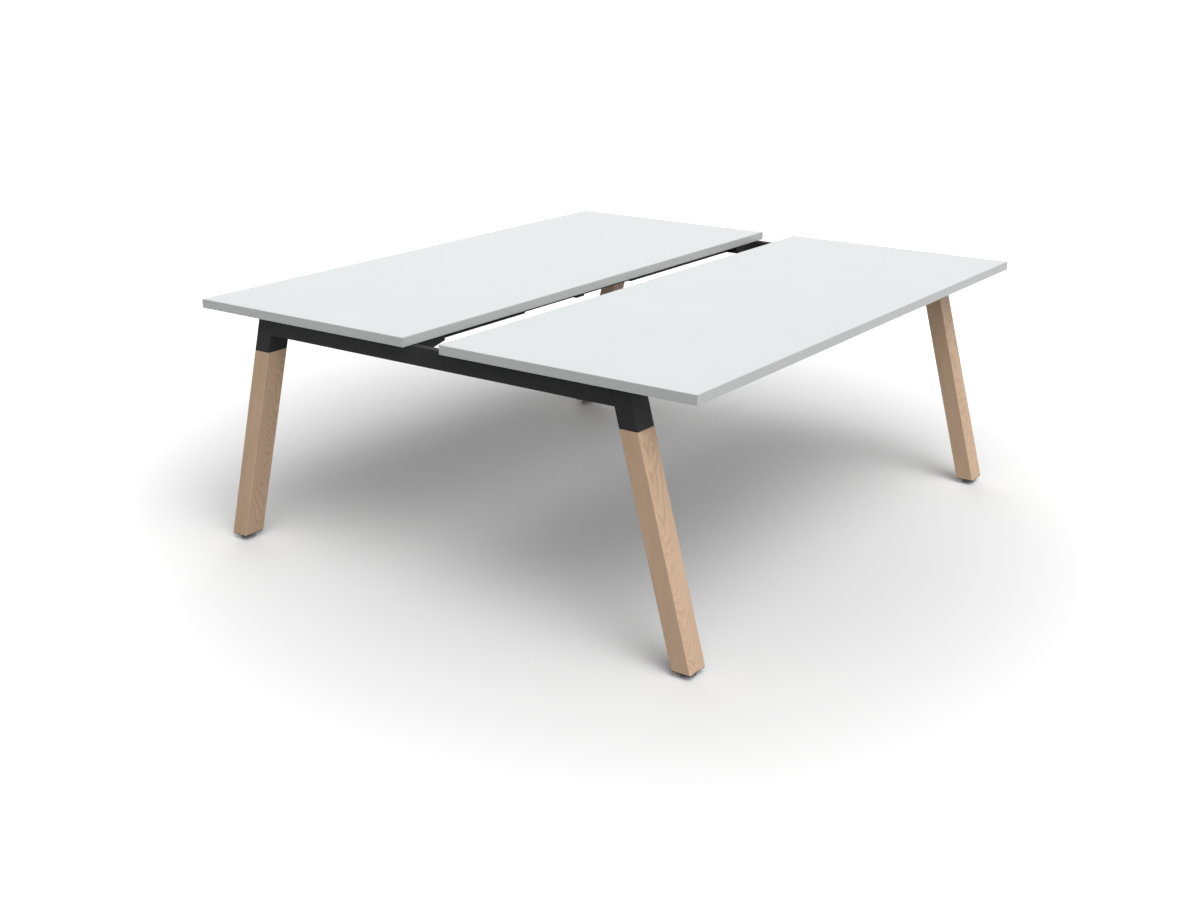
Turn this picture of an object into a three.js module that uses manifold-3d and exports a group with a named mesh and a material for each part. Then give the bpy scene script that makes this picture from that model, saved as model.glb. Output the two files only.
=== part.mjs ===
// Benching desk for two: tops face to face across a cable gap, on one steel frame with leaning wooden legs.
// Millimetres, +Z up. +X runs along the tops, +Y points to the left top, and the floor is z = 0.
// The near end is -X and the far end is +X.
import * as THREE from "three";
import { mergeVertices } from "three/addons/utils/BufferGeometryUtils.js";
import Module from "manifold-3d";

// Tops
const TOP_LENGTH = 1800;
const TOP_DEPTH = 750;
const TOP_THICKNESS = 25;
const TOP_GAP = 120;
const WORKTOP_HEIGHT = 715;
const EDGE_THICKNESS = 2;
const EDGE_ROUND = 1;

// Legs, which lean outwards in the YZ plane and are cut level at both ends
const LEG_WIDTH = 68;
const LEG_DEPTH = 52;
const LEG_LEAN_DEGREES = 15;
const LEG_EDGE_ROUND = 2;
const LEG_END_SET_IN = 25;
const LEG_SIDE_SET_IN = 200;
const TENON_HEADROOM = 3;

// Sockets, flush with the legs
const SOCKET_HEIGHT = 100;
const SOCKET_WALL = 2.5;

// End rails of rectangular tube, flush with the outer faces of the sockets
const RAIL_WIDTH = 25;
const RAIL_HEIGHT = 50;
const RAIL_WALL = 2;
const TUBE_CORNER_ROUND = 3;
const TUBE_INSIDE_ROUND = 1;

// Telescopic beams of square tube, one under each top
const BEAM_SIZE = 50;
const BEAM_WALL = 2.5;
const BEAM_SET_BACK = 110;
const BEAM_OPEN_MIDDLE = 540;
const INNER_TUBE_WALL = 2;
const INNER_TUBE_OVERLAP = 150;
const TELESCOPE_CLEARANCE = 0.5;
const COLLAR_LENGTH = 40;
const COLLAR_EAR = 25;

// Support arms, folded from sheet, under the inner corners of the tops
const ARM_LENGTH = 115;
const ARM_ROOT_DEPTH = 40;
const ARM_TIP_DEPTH = 16;
const ARM_FLANGE_WIDTH = 30;
const ARM_SHEET = 3;
const ARM_SET_BACK = 5;

// Levelling feet
const PAD_DIAMETER = 40;
const PAD_HEIGHT = 8;
const PAD_RIM = 4;
const PAD_CROWN_DIAMETER = 26;
const PAD_EDGE_ROUND = 1;
const SPIGOT_DIAMETER = 10;
const SPIGOT_DEPTH = 4;
const HEX_ACROSS_FLATS = 14;
const HEX_HEIGHT = 6.4;
const THREAD_DIAMETER = 8;
const THREAD_LENGTH = 35;
const FOOT_PLATE_THICKNESS = 2.5;
const FOOT_PLATE_INSET = 1;
const THREAD_SLEEVE_LENGTH = 20;
const THREAD_SLEEVE_WALL = 2;

// Screws
const BOLT_DIAMETER = 8;
const BOLT_HEAD_DIAMETER = 14;
const BOLT_HEAD_HEIGHT = 5;
const BOLT_KEY = 5;
const LEG_BOLT_COVER = 20;
const LEG_BOLT_DROP = 50;
const LOCK_BOSS_DIAMETER = 18;
const LOCK_BOSS_HEIGHT = 6;
const LOCK_SET_BACK = 40;
const WOOD_SCREW_DIAMETER = 5;
const WOOD_SCREW_HEAD_DIAMETER = 10;
const WOOD_SCREW_HEAD_HEIGHT = 3;
const WOOD_SCREW_KEY = 3;
const WOOD_SCREW_COVER = 7;
const SCREW_POINT = 3;

// Gap left between pieces that fit into, pass through or seat on each other at an angle
const CLEARANCE = 0.3;

// Facets of round pieces, and of the rounded corners of tubes and edges
const ROUND_FACETS = 16;
const CORNER_FACETS = 3;

// Places worked out from the sizes above, for the far left quarter: the other three are its mirror images
const underside = WORKTOP_HEIGHT - TOP_THICKNESS;
const topEnd = TOP_LENGTH / 2;
const topInner = TOP_GAP / 2;
const topOuter = topInner + TOP_DEPTH;
const lean = Math.tan(THREE.MathUtils.degToRad(LEG_LEAN_DEGREES));
const levelCut = 1 / Math.cos(THREE.MathUtils.degToRad(LEG_LEAN_DEGREES));
const legSection = LEG_DEPTH * levelCut;
const legEndFace = topEnd - LEG_END_SET_IN;
const legX = legEndFace - LEG_WIDTH / 2;
const legY = topOuter - LEG_SIDE_SET_IN - legSection / 2;
const socketInsideWidth = LEG_WIDTH - 2 * SOCKET_WALL;
const socketInsideSection = (LEG_DEPTH - 2 * SOCKET_WALL) * levelCut;
const tenonWidth = socketInsideWidth - 2 * CLEARANCE;
const tenonSection = socketInsideSection - 2 * CLEARANCE * levelCut;
const legBottom = PAD_HEIGHT + CLEARANCE + HEX_HEIGHT + CLEARANCE + FOOT_PLATE_THICKNESS;
const legDrop = underside - legBottom;
const railX = legEndFace - RAIL_WIDTH / 2;
const railInnerFace = legEndFace - RAIL_WIDTH;
const beamY = topInner + BEAM_SET_BACK + BEAM_SIZE / 2;
const beamZ = underside - BEAM_SIZE / 2;
const beamMouth = BEAM_OPEN_MIDDLE / 2;
const innerTubeSize = BEAM_SIZE - 2 * (BEAM_WALL + TELESCOPE_CLEARANCE);
const collarWall = (BEAM_SIZE - innerTubeSize) / 2;
const collarEarY = BEAM_SIZE / 2 + COLLAR_EAR / 2;
const lockX = beamMouth + LOCK_SET_BACK;
const armInnerFace = topInner + ARM_SET_BACK;
const armScrewX = railInnerFace - ARM_LENGTH / 2;
const armScrewY = armInnerFace + ARM_SHEET + (ARM_FLANGE_WIDTH - ARM_SHEET) / 2;
const woodScrewBite = TOP_THICKNESS - WOOD_SCREW_COVER;
const woodScrewHole = WOOD_SCREW_DIAMETER + 2 * CLEARANCE;
const boltHoleDiameter = BOLT_DIAMETER + 2 * CLEARANCE;
const threadBore = THREAD_DIAMETER + 2 * CLEARANCE;
const threadSleeveDiameter = threadBore + 2 * THREAD_SLEEVE_WALL;

const FINISHES = {
  laminate: { color: 0xdde1e2, roughness: 0.3, metalness: 0 },
  edging: { color: 0xc2c5c4, roughness: 0.4, metalness: 0 },
  blackSteel: { color: 0x2a2a2b, roughness: 0.5, metalness: 0.3 },
  oak: { color: 0xc6aa8c, roughness: 0.6, metalness: 0 },
  zincSteel: { color: 0x9a9c9e, roughness: 0.35, metalness: 0.9 },
  greyPlastic: { color: 0x8c8c8e, roughness: 0.5, metalness: 0 },
};

const wasm = await Module();
wasm.setup();

// A closed geometry as a solid that can be cut and joined.
function toSolid(geometry) {
  const bare = geometry.clone();
  bare.deleteAttribute("normal");
  bare.deleteAttribute("uv");
  const merged = mergeVertices(bare);
  const corners = merged.index.array;
  const kept = [];
  for (let i = 0; i < corners.length; i += 3) {
    const [a, b, c] = [corners[i], corners[i + 1], corners[i + 2]];
    if (a !== b && b !== c && c !== a) {
      kept.push(a, b, c);
    }
  }
  const mesh = new wasm.Mesh({
    numProp: 3,
    vertProperties: merged.attributes.position.array,
    triVerts: new Uint32Array(kept),
  });
  return new wasm.Manifold(mesh);
}

function toGeometry(solid) {
  const { vertProperties, triVerts } = solid.getMesh();
  const geometry = new THREE.BufferGeometry();
  geometry.setAttribute("position", new THREE.BufferAttribute(vertProperties, 3));
  geometry.setIndex(new THREE.BufferAttribute(triVerts, 1));
  geometry.computeVertexNormals();
  return geometry;
}

function cut(body, ...tools) {
  return toGeometry(tools.reduce((left, tool) => left.subtract(toSolid(tool)), toSolid(body)));
}

function join(first, ...others) {
  return toGeometry(others.reduce((whole, other) => whole.add(toSolid(other)), toSolid(first)));
}

// A rectangle round the origin, with rounded corners.
function rectangle(width, height, radius) {
  const x = width / 2 - radius;
  const y = height / 2 - radius;
  const shape = new THREE.Shape();
  shape.absarc(x, y, radius, 0, Math.PI / 2);
  shape.absarc(-x, y, radius, Math.PI / 2, Math.PI);
  shape.absarc(-x, -y, radius, Math.PI, 1.5 * Math.PI);
  shape.absarc(x, -y, radius, 1.5 * Math.PI, 2 * Math.PI);
  return shape;
}

function tubeSection(width, height, wall) {
  const shape = rectangle(width, height, TUBE_CORNER_ROUND);
  shape.holes.push(rectangle(width - 2 * wall, height - 2 * wall, TUBE_INSIDE_ROUND));
  return shape;
}

function polygon(points) {
  return new THREE.Shape(points.map(([x, y]) => new THREE.Vector2(x, y)));
}

// A section drawn in (x, y), extruded upwards from z = 0.
function alongZ(section, length) {
  const settings = { depth: length, bevelEnabled: false, curveSegments: CORNER_FACETS };
  return new THREE.ExtrudeGeometry(section, settings);
}

const X = new THREE.Vector3(1, 0, 0);
const Y = new THREE.Vector3(0, 1, 0);
const Z = new THREE.Vector3(0, 0, 1);

// A section drawn in (y, z), extruded along +X from x = 0.
function alongX(section, length) {
  return alongZ(section, length).applyMatrix4(new THREE.Matrix4().makeBasis(Y, Z, X));
}

// A section drawn in (z, x), extruded along +Y from y = 0.
function alongY(section, length) {
  return alongZ(section, length).applyMatrix4(new THREE.Matrix4().makeBasis(Z, X, Y));
}

function block(width, depth, height) {
  return new THREE.BoxGeometry(width, depth, height);
}

// An upright rod or hexagon standing on z = 0.
function rod(diameter, length, facets = ROUND_FACETS) {
  const geometry = new THREE.CylinderGeometry(diameter / 2, diameter / 2, length, facets);
  return geometry.rotateX(Math.PI / 2).translate(0, 0, length / 2);
}

function hexagon(acrossFlats, height) {
  return rod((2 * acrossFlats) / Math.sqrt(3), height, 6);
}

// A turned piece round the Z axis, from a profile of (radius, height) points that rises from the axis.
function turned(profile) {
  const points = profile.map(([radius, height]) => new THREE.Vector2(radius, height));
  return toGeometry(toSolid(new THREE.LatheGeometry(points, ROUND_FACETS).rotateX(Math.PI / 2)));
}

// A level section between two heights, sheared so that it leans outwards below z = 0.
function leaning(section, top, bottom) {
  const shear = new THREE.Matrix4().makeShear(0, 0, 0, 0, 0, -lean);
  return alongZ(section, top - bottom).translate(0, 0, bottom).applyMatrix4(shear);
}

// A screw with its head under z = 0 and its shank above, and a hexagon key hole in the head.
function screw(shank, length, head, headHeight, key) {
  const body = turned([
    [0, -headHeight],
    [head / 2, -headHeight],
    [head / 2, 0],
    [shank / 2, 0],
    [shank / 2, length - SCREW_POINT],
    [0, length],
  ]);
  return cut(body, hexagon(key, headHeight).translate(0, 0, -1.5 * headHeight));
}

// A hole for a screw's shank, clear all round it and past its tip.
function shankHole(shank, length) {
  const start = 2 * CLEARANCE;
  return rod(shank + 2 * CLEARANCE, length + start + CLEARANCE).translate(0, 0, -start);
}

function addPiece(group, name, geometry, finish, place = [0, 0, 0]) {
  const mesh = new THREE.Mesh(geometry, new THREE.MeshStandardMaterial(FINISHES[finish]));
  mesh.name = name;
  mesh.position.set(...place);
  group.add(mesh);
  return mesh;
}

// One top: the board, pierced from below for its screws, inside its four edging strips
function addTop(group, name) {
  const coreLength = TOP_LENGTH - 2 * EDGE_THICKNESS;
  const coreDepth = TOP_DEPTH - 2 * EDGE_THICKNESS;
  const topY = topInner + TOP_DEPTH / 2;
  const screwPlaces = [
    [armScrewX, armScrewY],
    [-armScrewX, armScrewY],
    [0, beamY - collarEarY],
    [0, beamY + collarEarY],
  ];
  const holes = screwPlaces.map(([x, y]) =>
    shankHole(WOOD_SCREW_DIAMETER, woodScrewBite).translate(x, y - topY, -TOP_THICKNESS / 2),
  );
  const board = cut(block(coreLength, coreDepth, TOP_THICKNESS), ...holes);
  const topZ = underside + TOP_THICKNESS / 2;
  addPiece(group, `${name}_top_board`, board, "laminate", [0, topY, topZ]);

  const stripRound = Math.min(EDGE_ROUND, EDGE_THICKNESS / 2);
  const half = TOP_THICKNESS / 2;
  const strip = new THREE.Shape();
  strip.moveTo(0, half);
  strip.lineTo(0, -half);
  strip.absarc(EDGE_THICKNESS - stripRound, stripRound - half, stripRound, -Math.PI / 2, 0);
  strip.absarc(EDGE_THICKNESS - stripRound, half - stripRound, stripRound, 0, Math.PI / 2);

  const longStrip = () => alongX(strip, TOP_LENGTH).translate(-TOP_LENGTH / 2, 0, 0);
  const endStrip = () => alongX(strip, coreDepth).translate(-coreDepth / 2, 0, 0);
  const inner = addPiece(group, `${name}_top_inner_edge`, longStrip(), "edging");
  inner.position.set(0, topInner + EDGE_THICKNESS, topZ);
  inner.rotation.z = Math.PI;
  const outer = addPiece(group, `${name}_top_outer_edge`, longStrip(), "edging");
  outer.position.set(0, topOuter - EDGE_THICKNESS, topZ);
  const near = addPiece(group, `${name}_top_near_edge`, endStrip(), "edging");
  near.position.set(-topEnd + EDGE_THICKNESS, topY, topZ);
  near.rotation.z = Math.PI / 2;
  const far = addPiece(group, `${name}_top_far_edge`, endStrip(), "edging");
  far.position.set(topEnd - EDGE_THICKNESS, topY, topZ);
  far.rotation.z = -Math.PI / 2;
}

// The middle of one beam: the inner tube, and the collar that carries the top over it
function addBeamMiddle(group, name) {
  const halfLength = beamMouth + INNER_TUBE_OVERLAP;
  const section = tubeSection(innerTubeSize, innerTubeSize, INNER_TUBE_WALL);
  const tube = alongX(section, 2 * halfLength).translate(-halfLength, 0, 0);
  addPiece(group, `${name}_beam_inner_tube`, tube, "blackSteel", [0, beamY, beamZ]);

  const earLevel = BEAM_SIZE / 2 - collarWall / 2;
  const ears = block(COLLAR_LENGTH, BEAM_SIZE + 2 * COLLAR_EAR, collarWall).translate(0, 0, earLevel);
  const ring = join(block(COLLAR_LENGTH, BEAM_SIZE, BEAM_SIZE), ears);
  const bore = block(2 * COLLAR_LENGTH, innerTubeSize, innerTubeSize);
  const earHoles = [-1, 1].map((side) =>
    rod(woodScrewHole, BEAM_SIZE).translate(0, side * collarEarY, 0),
  );
  const collar = cut(ring, bore, ...earHoles);
  addPiece(group, `${name}_beam_collar`, collar, "blackSteel", [0, beamY, beamZ]);

  const screwLength = collarWall + CLEARANCE + woodScrewBite;
  for (const [place, side] of [["inner", -1], ["outer", 1]]) {
    const seat = underside - collarWall - CLEARANCE;
    const at = [0, beamY + side * collarEarY, seat];
    addPiece(group, `${name}_collar_${place}_screw`, woodScrew(screwLength), "zincSteel", at);
  }
}

function woodScrew(length) {
  return screw(
    WOOD_SCREW_DIAMETER,
    length,
    WOOD_SCREW_HEAD_DIAMETER,
    WOOD_SCREW_HEAD_HEIGHT,
    WOOD_SCREW_KEY,
  );
}

function bolt(length) {
  return screw(BOLT_DIAMETER, length, BOLT_HEAD_DIAMETER, BOLT_HEAD_HEIGHT, BOLT_KEY);
}

// The rail across one end, cut at the slant of the sockets
function addEndRail(group, name) {
  const reach = legY - legSection / 2 - CLEARANCE * levelCut;
  const lowReach = reach + lean * RAIL_HEIGHT;
  const section = tubeSection(RAIL_HEIGHT, RAIL_WIDTH, RAIL_WALL);
  const tube = alongY(section, 2 * lowReach).translate(0, -lowReach, -RAIL_HEIGHT / 2);
  const slant = polygon([
    [-reach, 0],
    [-lowReach, -RAIL_HEIGHT],
    [lowReach, -RAIL_HEIGHT],
    [reach, 0],
  ]);
  const ends = alongX(slant, 2 * RAIL_WIDTH).translate(-RAIL_WIDTH, 0, 0);
  const rail = toGeometry(toSolid(tube).intersect(toSolid(ends)));
  addPiece(group, `${name}_end_rail`, rail, "blackSteel", [railX, 0, underside]);
}

// A leg in its socket. The origin is the middle of the leg's level section at the underside of the top
function addLeg(group, name) {
  const boltSeat = -LEG_WIDTH / 2;
  const boltY = lean * LEG_BOLT_DROP;
  const boltLength = LEG_WIDTH - SOCKET_WALL - LEG_BOLT_COVER;
  const placeBolt = (geometry) => geometry.rotateY(Math.PI / 2).translate(boltSeat, boltY, -LEG_BOLT_DROP);

  const sleeve = rectangle(LEG_WIDTH, legSection, LEG_EDGE_ROUND);
  sleeve.holes.push(rectangle(socketInsideWidth, socketInsideSection, LEG_EDGE_ROUND));
  const wallHole = placeBolt(rod(boltHoleDiameter, 3 * SOCKET_WALL).translate(0, 0, -SOCKET_WALL));
  const socket = cut(leaning(sleeve, 0, -SOCKET_HEIGHT), wallHole);
  addPiece(group, `${name}_leg_socket`, socket, "blackSteel");

  const shoulder = -SOCKET_HEIGHT - CLEARANCE;
  const shaft = leaning(rectangle(LEG_WIDTH, legSection, LEG_EDGE_ROUND), shoulder, -legDrop);
  const tenonSide = rectangle(tenonWidth, tenonSection, LEG_EDGE_ROUND);
  const tenon = leaning(tenonSide, -TENON_HEADROOM, shoulder - SOCKET_WALL);
  const footDepth = FOOT_PLATE_THICKNESS + THREAD_LENGTH;
  const footHole = rod(threadSleeveDiameter + 2 * CLEARANCE, 2 * footDepth);
  footHole.translate(0, lean * legDrop, -legDrop - footDepth);
  const boltHole = placeBolt(shankHole(BOLT_DIAMETER, boltLength));
  addPiece(group, `${name}_leg`, cut(join(shaft, tenon), footHole, boltHole), "oak");

  const legBolt = addPiece(group, `${name}_leg_bolt`, bolt(boltLength), "zincSteel");
  legBolt.rotation.y = Math.PI / 2;
  legBolt.position.set(boltSeat - CLEARANCE, boltY, -LEG_BOLT_DROP);
}

// The levelling foot under a leg. The origin is on the floor, on the axis of the stud
function addFoot(group, name) {
  const plateZ = legBottom - FOOT_PLATE_THICKNESS;
  const plateSide = rectangle(
    LEG_WIDTH - 2 * FOOT_PLATE_INSET,
    legSection - 2 * FOOT_PLATE_INSET,
    LEG_EDGE_ROUND,
  );
  const plate = alongZ(plateSide, FOOT_PLATE_THICKNESS);
  const sleeveTop = FOOT_PLATE_THICKNESS + THREAD_SLEEVE_LENGTH;
  const threadSleeve = rod(threadSleeveDiameter, sleeveTop);
  const threadHole = rod(threadBore, 2 * sleeveTop).translate(0, 0, -sleeveTop / 2);
  const footPlate = cut(join(plate, threadSleeve), threadHole);
  addPiece(group, `${name}_foot_plate`, footPlate, "blackSteel", [0, 0, plateZ]);

  const seat = PAD_HEIGHT - SPIGOT_DEPTH;
  const pad = turned([
    [0, 0],
    [PAD_DIAMETER / 2 - PAD_EDGE_ROUND, 0],
    [PAD_DIAMETER / 2, PAD_EDGE_ROUND],
    [PAD_DIAMETER / 2, PAD_RIM],
    [PAD_CROWN_DIAMETER / 2, PAD_HEIGHT],
    [SPIGOT_DIAMETER / 2 + CLEARANCE, PAD_HEIGHT],
    [SPIGOT_DIAMETER / 2 + CLEARANCE, seat],
    [0, seat],
  ]);
  addPiece(group, `${name}_foot_pad`, pad, "greyPlastic");

  const hexBottom = PAD_HEIGHT + CLEARANCE;
  const hexTop = hexBottom + HEX_HEIGHT;
  const stem = turned([
    [0, seat + CLEARANCE],
    [SPIGOT_DIAMETER / 2, seat + CLEARANCE],
    [SPIGOT_DIAMETER / 2, hexBottom + HEX_HEIGHT / 2],
    [THREAD_DIAMETER / 2, hexBottom + HEX_HEIGHT / 2],
    [THREAD_DIAMETER / 2, hexTop + THREAD_LENGTH - SCREW_POINT],
    [0, hexTop + THREAD_LENGTH],
  ]);
  const hex = hexagon(HEX_ACROSS_FLATS, HEX_HEIGHT).translate(0, 0, hexBottom);
  addPiece(group, `${name}_foot_stud`, join(stem, hex), "zincSteel");
}

// One outer beam tube, which starts on the rail, and the bolt that locks the inner tube in it
function addBeamEnd(group, name) {
  const side = BEAM_SIZE / 2;
  const length = railInnerFace - beamMouth;
  const tube = alongX(tubeSection(BEAM_SIZE, BEAM_SIZE, BEAM_WALL), length);
  const boss = rod(LOCK_BOSS_DIAMETER, LOCK_BOSS_HEIGHT + BEAM_WALL / 2);
  boss.rotateX(-Math.PI / 2).translate(LOCK_SET_BACK, side - BEAM_WALL / 2, 0);
  const hole = rod(boltHoleDiameter, LOCK_BOSS_HEIGHT + 3 * BEAM_WALL);
  hole.rotateX(-Math.PI / 2).translate(LOCK_SET_BACK, side - 2 * BEAM_WALL, 0);
  const outerTube = cut(join(tube, boss), hole);
  addPiece(group, `${name}_beam_outer_tube`, outerTube, "blackSteel", [beamMouth, beamY, beamZ]);

  const boltLength = LOCK_BOSS_HEIGHT + BEAM_WALL + TELESCOPE_CLEARANCE;
  const lockBolt = addPiece(group, `${name}_beam_lock_bolt`, bolt(boltLength), "zincSteel");
  lockBolt.rotation.x = Math.PI / 2;
  lockBolt.position.set(lockX, beamY + side + LOCK_BOSS_HEIGHT + CLEARANCE, beamZ);
}

// The arm that carries the inner corner of a top, and its screw
function addSupportArm(group, name) {
  const tip = railInnerFace - ARM_LENGTH;
  const flange = block(ARM_LENGTH, ARM_FLANGE_WIDTH, ARM_SHEET);
  flange.translate(tip + ARM_LENGTH / 2, armInnerFace + ARM_FLANGE_WIDTH / 2, underside - ARM_SHEET / 2);
  const taper = polygon([
    [underside, tip],
    [underside, railInnerFace],
    [underside - ARM_ROOT_DEPTH, railInnerFace],
    [underside - ARM_TIP_DEPTH, tip],
  ]);
  const web = alongY(taper, ARM_SHEET).translate(0, armInnerFace, 0);
  const hole = rod(woodScrewHole, 3 * ARM_SHEET);
  hole.translate(armScrewX, armScrewY, underside - 2 * ARM_SHEET);
  addPiece(group, `${name}_support_arm`, cut(join(flange, web), hole), "blackSteel");

  const screwLength = ARM_SHEET + CLEARANCE + woodScrewBite;
  const at = [armScrewX, armScrewY, underside - ARM_SHEET - CLEARANCE];
  addPiece(group, `${name}_arm_screw`, woodScrew(screwLength), "zincSteel", at);
}

const desk = new THREE.Group();
const ENDS = { near: -1, far: 1 };
const SIDES = { left: 1, right: -1 };

for (const [side, mirrorY] of Object.entries(SIDES)) {
  const half = new THREE.Group();
  half.scale.y = mirrorY;
  desk.add(half);
  addTop(half, side);
  addBeamMiddle(half, side);
}

for (const [end, mirrorX] of Object.entries(ENDS)) {
  const endFrame = new THREE.Group();
  endFrame.scale.x = mirrorX;
  desk.add(endFrame);
  addEndRail(endFrame, end);

  for (const [side, mirrorY] of Object.entries(SIDES)) {
    const corner = new THREE.Group();
    corner.scale.y = mirrorY;
    endFrame.add(corner);
    const name = `${end}_${side}`;
    addBeamEnd(corner, name);
    addSupportArm(corner, name);

    const leg = new THREE.Group();
    leg.position.set(legX, legY, underside);
    corner.add(leg);
    addLeg(leg, name);

    const foot = new THREE.Group();
    foot.position.set(legX, legY + lean * legDrop, 0);
    corner.add(foot);
    addFoot(foot, name);
  }
}

export default desk;
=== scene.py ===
"""Looks of the benching desk for two: finished pieces, materials, light and camera."""

import math

import bmesh
import bpy
from mathutils import Matrix, Vector


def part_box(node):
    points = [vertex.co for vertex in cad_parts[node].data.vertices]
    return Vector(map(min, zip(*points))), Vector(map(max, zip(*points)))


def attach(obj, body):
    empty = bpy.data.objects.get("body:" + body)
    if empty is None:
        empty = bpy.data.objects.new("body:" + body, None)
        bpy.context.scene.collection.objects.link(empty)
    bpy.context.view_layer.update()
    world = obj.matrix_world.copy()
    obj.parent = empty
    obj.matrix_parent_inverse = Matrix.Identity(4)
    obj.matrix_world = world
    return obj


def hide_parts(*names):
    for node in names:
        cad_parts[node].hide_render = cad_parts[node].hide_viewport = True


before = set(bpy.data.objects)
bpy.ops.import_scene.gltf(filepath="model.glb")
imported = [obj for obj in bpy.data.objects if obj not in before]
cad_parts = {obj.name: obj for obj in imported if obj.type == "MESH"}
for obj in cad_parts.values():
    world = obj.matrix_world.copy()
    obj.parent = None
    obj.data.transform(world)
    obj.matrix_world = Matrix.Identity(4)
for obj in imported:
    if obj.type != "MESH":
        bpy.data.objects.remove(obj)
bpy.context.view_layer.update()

MM = 0.001
ENDS = {"near": -1, "far": 1}
SIDES = {"left": 1, "right": -1}
CORNERS = [(end, side) for end in ENDS for side in SIDES]
DESK = "desk"
UP = Vector((0, 0, 1))
WHITE = (1, 1, 1, 1)

# Camera, from the photograph's own vanishing lines: its place in metres and its focal length in pixels
CAMERA_PLACE = (-3.60961, -2.49170, 1.65328)
CAMERA_TURN = math.radians(35.657)
CAMERA_TILT = math.radians(-18.491)
CAMERA_FOCAL_PIXELS = 1518.617
IMAGE_WIDTH = 1200
SENSOR_WIDTH = 36

# Studio light: a dim sky with soft lamps in it. The first lamp is overhead, two stand low in front,
# and the last stands low behind the desk
SKY_LOW = 0.10
SKY_LAMPS = [
    {"towards": (-0.378, -0.569, 1.0), "strength": 6.4, "focus": 14.6},
    {"towards": (-0.456, -1.0, 0.05), "strength": 2.5, "focus": 5.7},
    {"towards": (-1.0, -0.58, 0.05), "strength": 2.0, "focus": 29.0},
    {"towards": (0.80, 0.75, 0.28), "strength": 2.9, "focus": 9.0},
]

# Floor: its size in metres, the share of light that it throws back at the desk, and its brightness in the
# picture, under the desk, where a shade is painted on it, and far away
FLOOR_SIZE = 240.0
FLOOR_BOUNCE = 0.15
FLOOR_SEEN_IN_PAINTED_SHADE = 0.80
FLOOR_SEEN_FAR = 1.30

# Painted shade on the floor round the desk, fading into the white: an ellipse, with the start and the end of
# the fade along its long axis in metres, and its width as a share of its length
FLOOR_SHADE_FADE = (1.01, 2.85)
FLOOR_SHADE_CENTRE = (0.25, 0.25, 0)
FLOOR_SHADE_TURN = math.radians(38.8)
FLOOR_SHADE_WIDTH = 0.80

# Colours as they look on screen, 0 to 255
LAMINATE_PALE = (219, 225, 226)
LAMINATE_DEEP = (215, 221, 222)
EDGING_PALE = (188, 191, 190)
EDGING_DEEP = (183, 186, 185)
STEEL_PALE = (46, 46, 47)
STEEL_DEEP = (37, 37, 38)
# The steel's paler edge colour is wear with a painted sheen
STEEL_WORN_AND_SHEEN = (84, 84, 85)
OAK_PALE = (210, 181, 154)
OAK_DEEP = (177, 144, 114)
OAK_PORE = (129, 98, 71)
# The oak's paler edge colour is wear with a painted highlight
OAK_WORN_AND_HIGHLIGHT = (214, 188, 163)
ZINC_PALE = (196, 199, 203)
ZINC_DEEP = (160, 163, 166)
PLASTIC_PALE = (170, 170, 172)
PLASTIC_DEEP = (146, 146, 148)

# Gloss: index of refraction, strength of the mirror image, and roughness, even or from smoothest to roughest
LAMINATE_IOR = 1.52
LAMINATE_ROUGHNESS = 0.15
EDGING_ROUGHNESS = 0.38
WIPED_ROUGHNESS = 0.008
PEARL_ROUGHNESS = 0.02
STEEL_IOR = 1.5
STEEL_MIRROR = 0.11
STEEL_ROUGHNESS = (0.46, 0.58)
OAK_IOR = 1.45
OAK_MIRROR = 0.35
OAK_ROUGHNESS = (0.46, 0.58)
ZINC_ROUGHNESS = (0.28, 0.46)
PLASTIC_IOR = 1.53
PLASTIC_ROUGHNESS = (0.34, 0.5)

# Textures as waves per metre, for all directions or for each axis, and the usual range of their values
NOISE_RANGE = (0.3, 0.7)
LAMINATE_CLOUDS = 2.6
LAMINATE_PEARL = 1300
LAMINATE_WIPES = (5, 14, 5)
EDGING_WIPES = (6, 6, 260)
STEEL_GRIT = 1900
STEEL_PEEL = 330
STEEL_WEAR = 90
STEEL_CLOUDS = 14
OAK_WIDE_BENDS = (9, 9, 3.2)
OAK_FINE_BENDS = (70, 70, 16)
OAK_FIBRE = (620, 620, 9)
OAK_PORES = (1500, 1500, 45)
OAK_CLOUDS = (22, 22, 4)
OAK_DRIFT = (30, 30, 7)
ZINC_BLOOM = 260
ZINC_BRUSHING = (500, 500, 3200)
PLASTIC_SPARK = 1700
PLASTIC_DUST = 120

# Depth of the textures' relief and reach of the pale edges, in millimetres: wear, which on the steel is also
# a painted sheen and on the oak a painted highlight. The facing is the cosine between the rounded and the
# true normal, where the pale edge begins and where it is full
LAMINATE_RELIEF = 0.04
STEEL_RELIEF = 0.12
OAK_RELIEF = 0.12
ZINC_RELIEF = 0.02
PLASTIC_RELIEF = 0.05
STEEL_PALE_EDGE_REACH = 1.6
OAK_PALE_EDGE_REACH = 1.8
PLASTIC_WORN_REACH = 1.0
PALE_EDGE_FACING = (0.985, 0.85)
PALE_EDGE_SAMPLES = 4

# Growth rings of the oak: their spacing and bends in millimetres, the slant of the pith, the tones across
# one ring, and the place of the pith in each leg, in metres, as each leg is from its own part of a plank
OAK_RING = 2.3
OAK_WIDE_BEND = 14.0
OAK_FINE_BEND = 1.6
OAK_SLANT = 0.075
OAK_RING_TONES = [(0.0, 0.15), (0.10, 0.95), (0.34, 0.5), (0.75, 0.12), (1.0, 0.05)]
OAK_PITHS = {
    "near_right": (-0.012, 0.055, 0.00),
    "near_left": (0.020, 0.048, 1.30),
    "far_right": (0.004, 0.062, 2.70),
    "far_left": (-0.018, 0.050, 4.10),
}
GRAIN_LAYER = "grain"

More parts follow.
